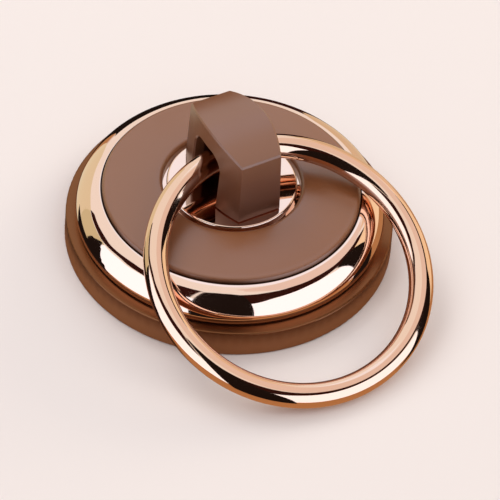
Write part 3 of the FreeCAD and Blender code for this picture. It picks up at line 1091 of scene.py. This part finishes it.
def thread_tree():
    """A tree that carries a diamond up a helix about Z."""
    tree, given, result = new_tree(
        "thread",
        [("Pitch radius", "Float"), ("Turns", "Float"), ("Height", "Float"),
         ("Ridge", "Float"), ("Steps", "Int"), ("Finish", "Material")],
        "Thread",
    )
    helix = add_node(tree, "GeometryNodeCurveSpiral")
    upright = add_node(tree, "GeometryNodeSetCurveNormal", mode="Z_UP")
    diamond = add_node(
        tree, "GeometryNodeCurvePrimitiveCircle", {"Resolution": DIAMOND_CORNERS}, mode="RADIUS"
    )
    sweep = add_node(tree, "GeometryNodeCurveToMesh", {"Fill Caps": True})
    link = tree.links.new
    link(given.outputs["Pitch radius"], helix.inputs["Start Radius"])
    link(given.outputs["Pitch radius"], helix.inputs["End Radius"])
    link(given.outputs["Turns"], helix.inputs["Rotations"])
    link(given.outputs["Height"], helix.inputs["Height"])
    link(given.outputs["Steps"], helix.inputs["Resolution"])
    link(given.outputs["Ridge"], diamond.inputs["Radius"])
    link(helix.outputs["Curve"], upright.inputs["Curve"])
    link(upright.outputs["Curve"], sweep.inputs["Curve"])
    link(diamond.outputs["Curve"], sweep.inputs["Profile Curve"])
    end_tree(tree, sweep.outputs["Mesh"], given, result, "Thread")
    return tree


THREADING = thread_tree()
print("tree", THREADING.name, "with", len(THREADING.nodes), "nodes")


# %% Cut a thread
STEPS_PER_TURN = 24


def thread(name, pitch_r, pitch, height, ridge, finish):
    """The ridge of a thread that climbs from z = 0 to a height, all in mm."""
    turns = height / pitch
    mesh = grown(
        name, bpy.data.meshes.new(name + "_blank"), THREADING,
        Pitch_radius=pitch_r * MM, Turns=turns, Height=height * MM, Ridge=ridge * MM,
        Steps=math.ceil(turns * STEPS_PER_TURN), Finish=finish,
    )
    mesh.shade_flat()
    return mesh


# %% [markdown]
# Post screws
#
# Two socket head screws come up from the back and hold the post, the plate and
# the deck together. A real head is knurled for the fingers and has a hexagonal
# socket. Such a form is a stack of outlines of the same number of points, round,
# knurled or hexagonal, each with its own height, so it is made by joining one
# outline to the next. A boolean cut would give the same socket with worse faces.

# %% Outlines of a screw
AROUND = 144
STEPS_PER_NOTCH = 3      # so 48 notches round the head
NOTCH_SIZE = 0.96        # radius in a notch, as a share of the head's


def round_size(angle):
    """Radius of a circle."""
    return 1.0


def hexagon_size(angle):
    """Radius of a hexagon whose flats lie at 1."""
    sector = math.radians(60)
    return 1 / math.cos((angle + sector / 2) % sector - sector / 2)


def knurled_size(angle):
    """Radius of the head with its fine notches."""
    notch = int(angle / math.tau * AROUND + 0.5) % STEPS_PER_NOTCH
    return 1.0 if notch else NOTCH_SIZE


def stacked(name, outlines, finish):
    """A closed skin over outlines (shape, size, height) in mm, each joined to the next."""
    build = bmesh.new()
    angles = [math.tau * i / AROUND for i in range(AROUND)]
    loops = []
    for shape, size, height in outlines:
        radii = [size * shape(a) for a in angles]
        points = [(r * math.cos(a), r * math.sin(a), height) for r, a in zip(radii, angles)]
        loops.append([build.verts.new(Vector(p) * MM) for p in points])
    for lower, upper in zip(loops[:-1], loops[1:]):
        for i in range(AROUND):
            j = (i + 1) % AROUND
            build.faces.new((lower[i], lower[j], upper[j], upper[i]))
    build.faces.new(list(reversed(loops[0])))
    build.faces.new(loops[-1])
    bmesh.ops.recalc_face_normals(build, faces=build.faces)
    mesh = bpy.data.meshes.new(name)
    build.to_mesh(mesh)
    build.free()
    mesh.materials.append(finish)
    mesh.shade_flat()
    return mesh


# %% Post screws, in mm
screws_low, screws_high = [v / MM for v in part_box("post_screws")]
HEAD_R, HEAD_H = 2.75, 3.0
SOCKET_HALF, SOCKET_DEPTH, SOCKET_BEVEL = 1.25, 1.5, 0.12
SCREW_CORE_R, SCREW_RIDGE, SCREW_PITCH = 1.22, 0.22, 0.5
THREAD_MARGIN = 0.5      # plain shank before and after the thread
SCREW_Y = screws_high.y - HEAD_R
print("screws stand at y", round(-SCREW_Y, 2), "and", round(SCREW_Y, 2))


def screw_outlines():
    """From the middle of the socket's floor, out over the head and up to the tip."""
    low, seat, tip = screws_low.z, screws_low.z + HEAD_H, screws_high.z
    neck_r = HEAD_R * NOTCH_SIZE
    return [
        (hexagon_size, SOCKET_HALF * 0.2, low + SOCKET_DEPTH),     # middle of the floor
        (hexagon_size, SOCKET_HALF, low + SOCKET_DEPTH),           # edge of the floor
        (hexagon_size, SOCKET_HALF, low + SOCKET_BEVEL),           # mouth of the socket
        (hexagon_size, SOCKET_HALF + SOCKET_BEVEL, low),
        (round_size, HEAD_R - 0.3, low),                           # rounded end of the head
        (round_size, HEAD_R - 0.1, low + 0.1),
        (round_size, neck_r, low + 0.3),
        (knurled_size, HEAD_R, low + 0.35),                        # knurl
        (knurled_size, HEAD_R, seat - 0.3),
        (round_size, neck_r, seat - 0.2),                          # plain neck
        (round_size, neck_r, seat),
        (round_size, SCREW_CORE_R, seat),                          # core of the thread
        (round_size, SCREW_CORE_R, tip - 0.4),
        (round_size, SCREW_CORE_R - 0.35, tip),                    # bevelled tip
    ]


# %% Two screws in one mesh
def joined(name, parts):
    """One mesh from several (mesh, place in mm) that share a material."""
    build = bmesh.new()
    for part, place in parts:
        copy = part.copy()
        copy.transform(Matrix.Translation(Vector(place) * MM))
        build.from_mesh(copy)
        bpy.data.meshes.remove(copy)
    mesh = bpy.data.meshes.new(name)
    build.to_mesh(mesh)
    build.free()
    mesh.materials.append(parts[0][0].materials[0])
    return mesh


def post_screws_mesh():
    """Both screws, each a body with a thread round its core."""
    body = stacked("screw_body", screw_outlines(), BRIGHT_ZINC)
    seat = screws_low.z + HEAD_H
    length = screws_high.z - seat - 2 * THREAD_MARGIN
    ridge = thread("screw_thread", SCREW_CORE_R, SCREW_PITCH, length, SCREW_RIDGE, BRIGHT_ZINC)
    parts = []
    for y in (-SCREW_Y, SCREW_Y):
        parts += [(body, (0, y, 0)), (ridge, (0, y, seat + THREAD_MARGIN))]
    return joined("post_screws_fine", parts)


screws = stand_in(
    "post_screws_fine", post_screws_mesh(), "post_screws", "mounting"
)

# %% [markdown]
# Threads of the door screw holes
#
# Only the mouths of these blind holes can be seen, from behind. The casting
# keeps its plain bores, and a low ridge with the pitch of the real thread lies
# in each, sunk in the wall with only its crest standing out. Cutting a groove
# into the bore would be truer, but the casting's mesh is left as it is.

# %% Door hole threads, in mm
mount = next(m for m in frame["record"]["mounts"] if m["name"] == "door_screws")
HOLE_R = mount["dims"]["hole_r_mm"]
HOLE_Y = mount["dims"]["spacing_y_mm"] / 2
HOLE_PITCH, HOLE_CREST = 0.7, 0.16
HOLE_SUNK = 0.1          # how far the ridge's middle lies in the wall
HOLE_THREAD_LOW, HOLE_THREAD_H = 0.6, 6.3
BARE_ZINC = new_finish("bare_zinc", (0.40, 0.40, 0.41), metallic=1.0, roughness=0.35)[0]


def hole_threads_mesh():
    """The ridges of both holes."""
    ridge = thread(
        "hole_thread", HOLE_R + HOLE_SUNK, HOLE_PITCH, HOLE_THREAD_H,
        HOLE_CREST + HOLE_SUNK, BARE_ZINC,
    )
    places = [(0, y, HOLE_THREAD_LOW) for y in (-HOLE_Y, HOLE_Y)]
    return joined("hole_threads", [(ridge, place) for place in places])


hole_threads = new_object("hole_threads", hole_threads_mesh())
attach(hole_threads, "mounting")
report(hole_threads.data)
